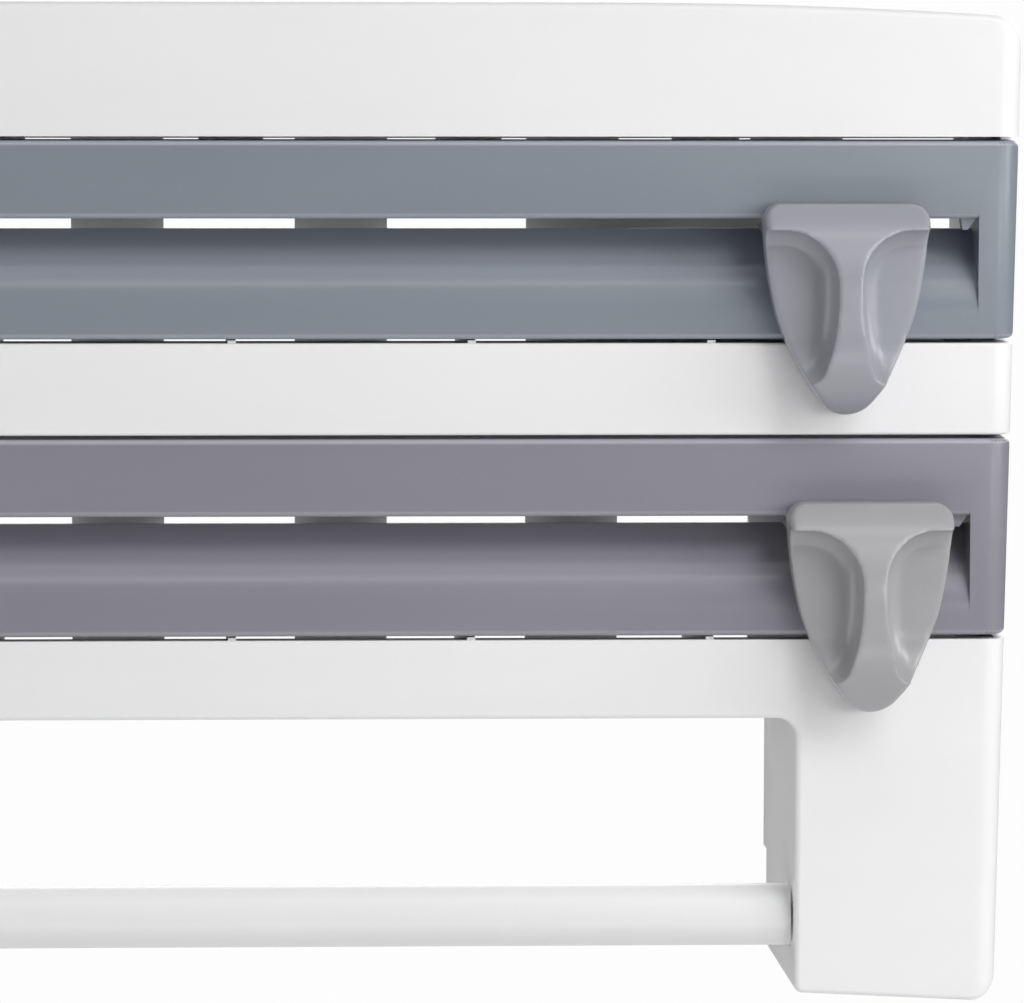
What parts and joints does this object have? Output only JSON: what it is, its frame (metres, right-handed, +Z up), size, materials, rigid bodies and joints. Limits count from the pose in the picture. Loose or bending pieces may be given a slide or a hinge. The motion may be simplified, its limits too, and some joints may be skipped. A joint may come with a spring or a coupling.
{
  "type": "wall-mounted wrap dispenser",
  "caption": "Wall-mounted holder for rolls of kitchen wrap in pull-out drawers with sliding cutters, with an open rack on top and a turning bar for paper towel below.",
  "frame": {"origin": "midway between the two keyholes, on the plane of the wall", "axes": "+X to the right as one faces the dispenser, +Y into the wall, so the front faces -Y, +Z up"},
  "size_m": [0.3888, 0.098, 0.2472],
  "materials": {
    "white_shell": "satin white moulding",
    "white_inner": "matt white moulding",
    "grey_front": "satin grey moulding",
    "grey_knob": "satin light grey moulding",
    "inner_plastic": "slippery unpainted moulding",
    "blade_steel": "ground",
    "screw_steel": "zinc plated"
  },
  "bodies": {
    "housing": {"top_rack": "white_shell", "rack_screws": "screw_steel", "back_panel": "white_inner", "back_panel_screws": "screw_steel", "left_side_panel": "white_shell", "right_side_panel": "white_shell", "mid_band": "white_shell", "band_screws": "screw_steel", "lower_frame": "white_shell", "frame_screws": "screw_steel", "left_arm_cover": "white_shell", "right_arm_cover": "white_shell"},
    "upper_drawer": {"upper_drawer_front": "grey_front", "upper_drawer_tray": "white_inner", "upper_tray_screws": "screw_steel"},
    "upper_cutter": {"upper_cutter_knob": "grey_knob", "upper_cutter_blade": "blade_steel", "upper_cutter_shoe": "inner_plastic", "upper_cutter_screws": "screw_steel"},
    "lower_drawer": {"lower_drawer_front": "grey_front", "lower_drawer_tray": "white_inner", "lower_tray_screws": "screw_steel"},
    "lower_cutter": {"lower_cutter_knob": "grey_knob", "lower_cutter_blade": "blade_steel", "lower_cutter_shoe": "inner_plastic", "lower_cutter_screws": "screw_steel"},
    "towel_bar": {"bar_tube": "white_shell", "bar_end_plug": "white_inner", "bar_spring_seat": "inner_plastic", "bar_spring": "screw_steel"},
    "bar_plunger": {"bar_plunger": "white_inner"}
  },
  "joints": [
    {"name": "upper_drawer_slide", "type": "slide", "parent": "housing", "child": "upper_drawer", "axis": [0, -1, 0], "range_m": [0, 0.062]},
    {"name": "lower_drawer_slide", "type": "slide", "parent": "housing", "child": "lower_drawer", "axis": [0, -1, 0], "range_m": [0, 0.062]},
    {"name": "upper_cutter_slide", "type": "slide", "parent": "upper_drawer", "child": "upper_cutter", "axis": [1, 0, 0], "range_m": [-0.3113, 0.0111]},
    {"name": "lower_cutter_slide", "type": "slide", "parent": "lower_drawer", "child": "lower_cutter", "axis": [1, 0, 0], "range_m": [-0.3163, 0.0031]},
    {"name": "towel_bar_spin", "type": "hinge", "parent": "housing", "child": "towel_bar", "pos_m": [0, -0.066, -0.161], "axis": [1, 0, 0], "continuous": true},
    {"name": "bar_plunger_slide", "type": "slide", "parent": "towel_bar", "child": "bar_plunger", "axis": [1, 0, 0], "range_m": [0, 0.006], "stiffness_N_per_m": 250, "springref_m": -0.008, "deforming": ["bar_spring"]}
  ]
}
